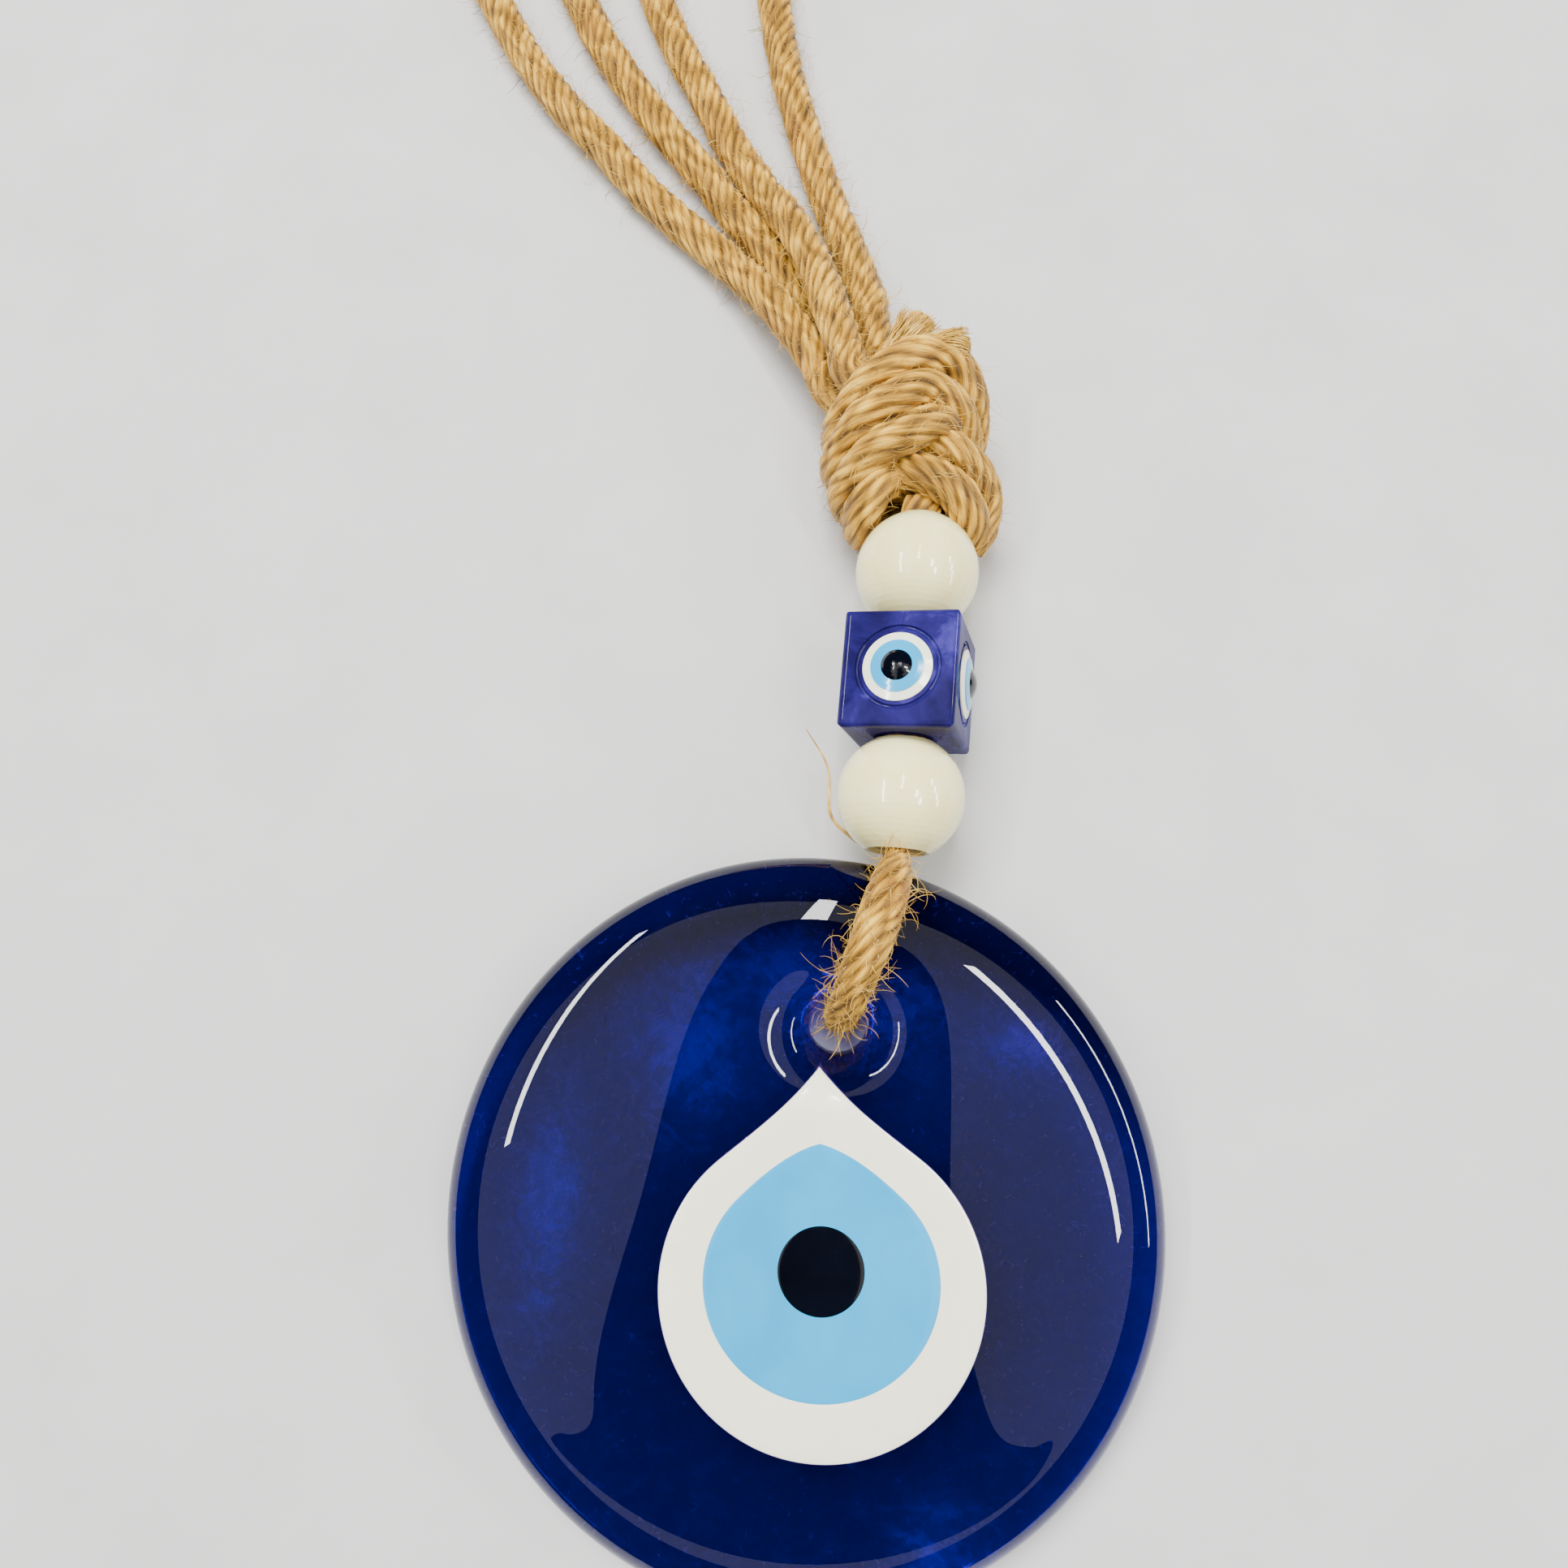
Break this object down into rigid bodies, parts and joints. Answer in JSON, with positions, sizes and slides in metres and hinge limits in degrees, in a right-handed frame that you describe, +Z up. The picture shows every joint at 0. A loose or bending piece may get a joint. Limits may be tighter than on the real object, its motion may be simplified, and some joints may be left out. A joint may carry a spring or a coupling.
{
  "type": "evil eye ornament",
  "caption": "Glass evil eye disc with a fused teardrop eye, hung on a knotted jute rope through two round beads and a cube bead with eyes, with hanging loops.",
  "frame": {"origin": "on the surface that it lies on, under the middle of the glass and beads taken together, which is just below the disc's hole", "axes": "+Y along the line of beads towards the hanging loops, +Z up out of the surface, +X to the right as its front is looked at"},
  "size_m": [0.1515, 0.3351, 0.0256],
  "materials": {
    "cobalt_glass": "clear cobalt glass, fire-polished",
    "opal_white": "opaque warm white glass, glossy",
    "sky_blue": "opaque light blue glass, glossy",
    "near_black": "opaque blue-black glass, glossy",
    "cube_glass": "translucent navy glass, glossy",
    "jute": "natural three-ply jute rope, hairy"
  },
  "bodies": {
    "cord": {"knot": "jute", "cut_end_a": "jute", "cut_end_b": "jute", "threaded_cord_front": "jute", "threaded_cord_back": "jute"},
    "loops": {"outer_loop": "jute", "inner_loop": "jute"},
    "upper_bead_body": {"upper_bead": "opal_white"},
    "cube_body": {"cube_bead": "cube_glass", "eye_ring_1": "opal_white", "eye_ring_2": "opal_white", "eye_ring_3": "opal_white", "eye_ring_4": "opal_white", "eye_iris_1": "sky_blue", "eye_iris_2": "sky_blue", "eye_iris_3": "sky_blue", "eye_iris_4": "sky_blue", "eye_pupil_1": "near_black", "eye_pupil_2": "near_black", "eye_pupil_3": "near_black", "eye_pupil_4": "near_black"},
    "lower_bead_body": {"lower_bead": "opal_white"},
    "sling_body": {"sling": "jute"},
    "disc": {"glass_disc": "cobalt_glass", "white_drop": "opal_white", "light_blue_drop": "sky_blue", "pupil": "near_black"}
  },
  "joints": [
    {"name": "loops_fold", "type": "hinge", "parent": "cord", "child": "loops", "pos_m": [-0.0035, 0.1135, 0.0085], "axis": [0.8707, 0.4917, 0], "range_deg": [-80, 80], "deforming": ["outer_loop", "inner_loop"]},
    {"name": "upper_bead_spin", "type": "hinge", "parent": "cord", "child": "upper_bead_body", "pos_m": [0.0102, 0.0756, 0.0117], "axis": [0, 1, 0], "continuous": true},
    {"name": "cube_spin", "type": "hinge", "parent": "cord", "child": "cube_body", "pos_m": [0.0102, 0.056, 0.0117], "axis": [0, 1, 0], "continuous": true},
    {"name": "lower_bead_spin", "type": "hinge", "parent": "cord", "child": "lower_bead_body", "pos_m": [0.0102, 0.037, 0.0117], "axis": [0, 1, 0], "continuous": true},
    {"name": "sling_bend", "type": "hinge", "parent": "cord", "child": "sling_body", "pos_m": [0.0102, 0.028, 0.0117], "axis": [1, 0, 0], "range_deg": [-40, 40], "deforming": ["sling"]},
    {"name": "disc_swivel", "type": "hinge", "parent": "sling_body", "child": "disc", "pos_m": [0.0031, 0.00013, 0.00849], "axis": [0, -0.0785, 0.9969], "range_deg": [-20, 8]}
  ]
}
